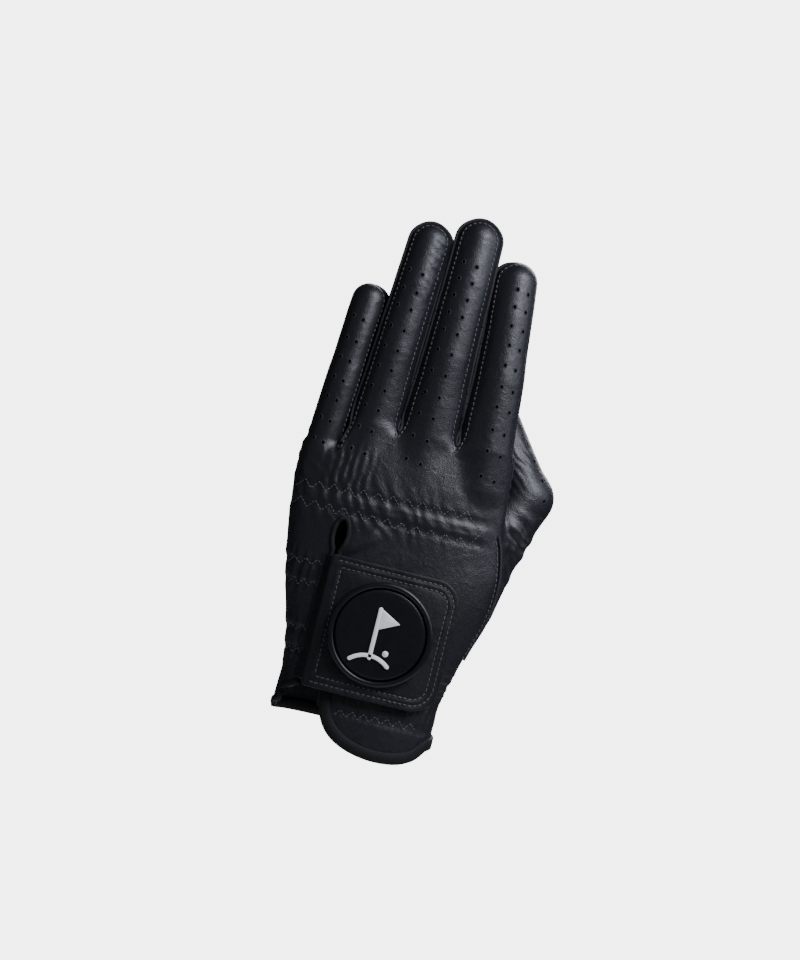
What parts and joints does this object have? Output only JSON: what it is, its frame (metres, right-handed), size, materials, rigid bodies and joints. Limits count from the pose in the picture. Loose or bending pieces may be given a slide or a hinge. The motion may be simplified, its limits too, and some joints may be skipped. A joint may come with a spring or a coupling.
{
  "type": "golf glove",
  "caption": "Left-hand golf glove in thin black leather, filled as if worn, with perforated fingers, elastic shirring, and a wrist tab that carries a round badge",
  "frame": {"origin": "centre of the wrist opening, level with the lowest point of the hem", "axes": "+Z along the fingers, +X to the thumb side, -Y out of the back of the hand, +Y out of the palm"},
  "size_m": [0.1009, 0.0538, 0.2144],
  "materials": {
    "back_panel": "fine grain, satin",
    "palm_panel": "fine grain, satin",
    "slit_binding": "folded tape",
    "back_hem_binding": "folded tape",
    "strip_hem_binding": "folded tape",
    "palm_hem_binding": "folded tape",
    "knuckle_elastic": "woven elastic",
    "strip_elastic_upper": "woven elastic",
    "strip_elastic_lower": "woven elastic",
    "cuff_elastic": "woven elastic",
    "palm_elastic": "woven elastic",
    "side_seam_piping": "fine grain, satin",
    "loop_pad": "hook-and-loop",
    "thumb_lower_sleeve": "fine grain, satin",
    "thumb_knuckle_crease": "fine grain, satin",
    "index_base_sleeve": "fine grain, satin",
    "index_base_gusset_outer": "fine grain, satin",
    "index_middle_crease": "fine grain, satin",
    "middle_base_sleeve": "fine grain, satin",
    "middle_base_gusset_outer": "fine grain, satin",
    "middle_base_gusset_inner": "fine grain, satin",
    "middle_middle_crease": "fine grain, satin",
    "ring_base_sleeve": "fine grain, satin",
    "ring_base_gusset_outer": "fine grain, satin",
    "ring_base_gusset_inner": "fine grain, satin",
    "ring_middle_crease": "fine grain, satin",
    "little_base_sleeve": "fine grain, satin",
    "little_base_gusset_inner": "fine grain, satin",
    "little_middle_crease": "fine grain, satin",
    "index_middle_sleeve": "fine grain, satin",
    "index_middle_gusset_outer": "fine grain, satin",
    "index_end_crease": "fine grain, satin",
    "index_tip_sleeve": "fine grain, satin",
    "middle_middle_sleeve": "fine grain, satin",
    "middle_middle_gusset_outer": "fine grain, satin",
    "middle_middle_gusset_inner": "fine grain, satin",
    "middle_end_crease": "fine grain, satin",
    "middle_tip_sleeve": "fine grain, satin",
    "ring_middle_sleeve": "fine grain, satin",
    "ring_middle_gusset_outer": "fine grain, satin",
    "ring_middle_gusset_inner": "fine grain, satin",
    "ring_end_crease": "fine grain, satin",
    "ring_tip_sleeve": "fine grain, satin",
    "little_middle_sleeve": "fine grain, satin",
    "little_middle_gusset_inner": "fine grain, satin",
    "little_end_crease": "fine grain, satin",
    "little_tip_sleeve": "fine grain, satin",
    "thumb_tip_sleeve": "fine grain, satin",
    "tab_leather": "fine grain, satin",
    "tab_lining": "fine grain, satin",
    "hook_pad": "hook-and-loop",
    "badge_rim": "moulded, satin",
    "badge_disc": "moulded, satin",
    "badge_flag": "moulded"
  },
  "bodies": {
    "hand": {"back_panel": "back_panel", "palm_panel": "palm_panel", "slit_binding": "slit_binding", "back_hem_binding": "back_hem_binding", "strip_hem_binding": "strip_hem_binding", "palm_hem_binding": "palm_hem_binding", "knuckle_elastic": "knuckle_elastic", "strip_elastic_upper": "strip_elastic_upper", "strip_elastic_lower": "strip_elastic_lower", "cuff_elastic": "cuff_elastic", "palm_elastic": "palm_elastic", "side_seam_piping": "side_seam_piping", "loop_pad": "loop_pad", "thumb_lower_sleeve": "thumb_lower_sleeve", "thumb_knuckle_crease": "thumb_knuckle_crease", "index_base_sleeve": "index_base_sleeve", "index_base_gusset_outer": "index_base_gusset_outer", "index_middle_crease": "index_middle_crease", "middle_base_sleeve": "middle_base_sleeve", "middle_base_gusset_outer": "middle_base_gusset_outer", "middle_base_gusset_inner": "middle_base_gusset_inner", "middle_middle_crease": "middle_middle_crease", "ring_base_sleeve": "ring_base_sleeve", "ring_base_gusset_outer": "ring_base_gusset_outer", "ring_base_gusset_inner": "ring_base_gusset_inner", "ring_middle_crease": "ring_middle_crease", "little_base_sleeve": "little_base_sleeve", "little_base_gusset_inner": "little_base_gusset_inner", "little_middle_crease": "little_middle_crease"},
    "index_middle": {"index_middle_sleeve": "index_middle_sleeve", "index_middle_gusset_outer": "index_middle_gusset_outer", "index_end_crease": "index_end_crease"},
    "index_tip": {"index_tip_sleeve": "index_tip_sleeve"},
    "middle_middle": {"middle_middle_sleeve": "middle_middle_sleeve", "middle_middle_gusset_outer": "middle_middle_gusset_outer", "middle_middle_gusset_inner": "middle_middle_gusset_inner", "middle_end_crease": "middle_end_crease"},
    "middle_tip": {"middle_tip_sleeve": "middle_tip_sleeve"},
    "ring_middle": {"ring_middle_sleeve": "ring_middle_sleeve", "ring_middle_gusset_outer": "ring_middle_gusset_outer", "ring_middle_gusset_inner": "ring_middle_gusset_inner", "ring_end_crease": "ring_end_crease"},
    "ring_tip": {"ring_tip_sleeve": "ring_tip_sleeve"},
    "little_middle": {"little_middle_sleeve": "little_middle_sleeve", "little_middle_gusset_inner": "little_middle_gusset_inner", "little_end_crease": "little_end_crease"},
    "little_tip": {"little_tip_sleeve": "little_tip_sleeve"},
    "thumb_tip": {"thumb_tip_sleeve": "thumb_tip_sleeve"},
    "tab": {"tab_leather": "tab_leather", "tab_lining": "tab_lining", "hook_pad": "hook_pad", "badge_rim": "badge_rim", "badge_disc": "badge_disc", "badge_flag": "badge_flag"}
  },
  "joints": [
    {"name": "index_middle_joint", "type": "hinge", "parent": "hand", "child": "index_middle", "pos_m": [0.02431, 0.0012, 0.1545], "axis": [-0.9976, 0, -0.0687], "range_deg": [0, 75], "deforming": ["index_middle_crease"]},
    {"name": "index_end_joint", "type": "hinge", "parent": "index_middle", "child": "index_tip", "pos_m": [0.02265, 0.0035, 0.1785], "axis": [-0.9976, 0, -0.0687], "range_deg": [0, 37.5], "deforming": ["index_end_crease"]},
    {"name": "middle_middle_joint", "type": "hinge", "parent": "hand", "child": "middle_middle", "pos_m": [0.00288, 0.0012, 0.159], "axis": [-0.9999, 0, 0.0151], "range_deg": [0, 80], "deforming": ["middle_middle_crease"]},
    {"name": "middle_end_joint", "type": "hinge", "parent": "middle_middle", "child": "middle_tip", "pos_m": [0.00332, 0.0035, 0.188], "axis": [-0.9999, 0, 0.0151], "range_deg": [0, 40], "deforming": ["middle_end_crease"]},
    {"name": "ring_middle_joint", "type": "hinge", "parent": "hand", "child": "ring_middle", "pos_m": [-0.01768, 0.0012, 0.156], "axis": [-0.9982, 0, 0.0594], "range_deg": [0, 80], "deforming": ["ring_middle_crease"]},
    {"name": "ring_end_joint", "type": "hinge", "parent": "ring_middle", "child": "ring_tip", "pos_m": [-0.01604, 0.0035, 0.1835], "axis": [-0.9982, 0, 0.0594], "range_deg": [0, 40], "deforming": ["ring_end_crease"]},
    {"name": "little_middle_joint", "type": "hinge", "parent": "hand", "child": "little_middle", "pos_m": [-0.03503, 0.0012, 0.1385], "axis": [-0.9978, 0, 0.0667], "range_deg": [0, 80], "deforming": ["little_middle_crease"]},
    {"name": "little_end_joint", "type": "hinge", "parent": "little_middle", "child": "little_tip", "pos_m": [-0.03366, 0.0035, 0.159], "axis": [-0.9978, 0, 0.0667], "range_deg": [0, 40], "deforming": ["little_end_crease"]},
    {"name": "thumb_joint", "type": "hinge", "parent": "hand", "child": "thumb_tip", "pos_m": [0.046, 0.019, 0.113], "axis": [0.0664, -0.9818, 0.1777], "range_deg": [-40, 25], "deforming": ["thumb_knuckle_crease"]},
    {"name": "tab_hinge", "type": "hinge", "parent": "hand", "child": "tab", "pos_m": [-0.0223, -0.0173, 0.0485], "axis": [0, 0, -1], "range_deg": [0, 150]}
  ],
  "couplings": [
    {"joint": "index_end_joint", "follows": "index_middle_joint", "ratio": 0.5},
    {"joint": "middle_end_joint", "follows": "middle_middle_joint", "ratio": 0.5},
    {"joint": "ring_end_joint", "follows": "ring_middle_joint", "ratio": 0.5},
    {"joint": "little_end_joint", "follows": "little_middle_joint", "ratio": 0.5}
  ]
}
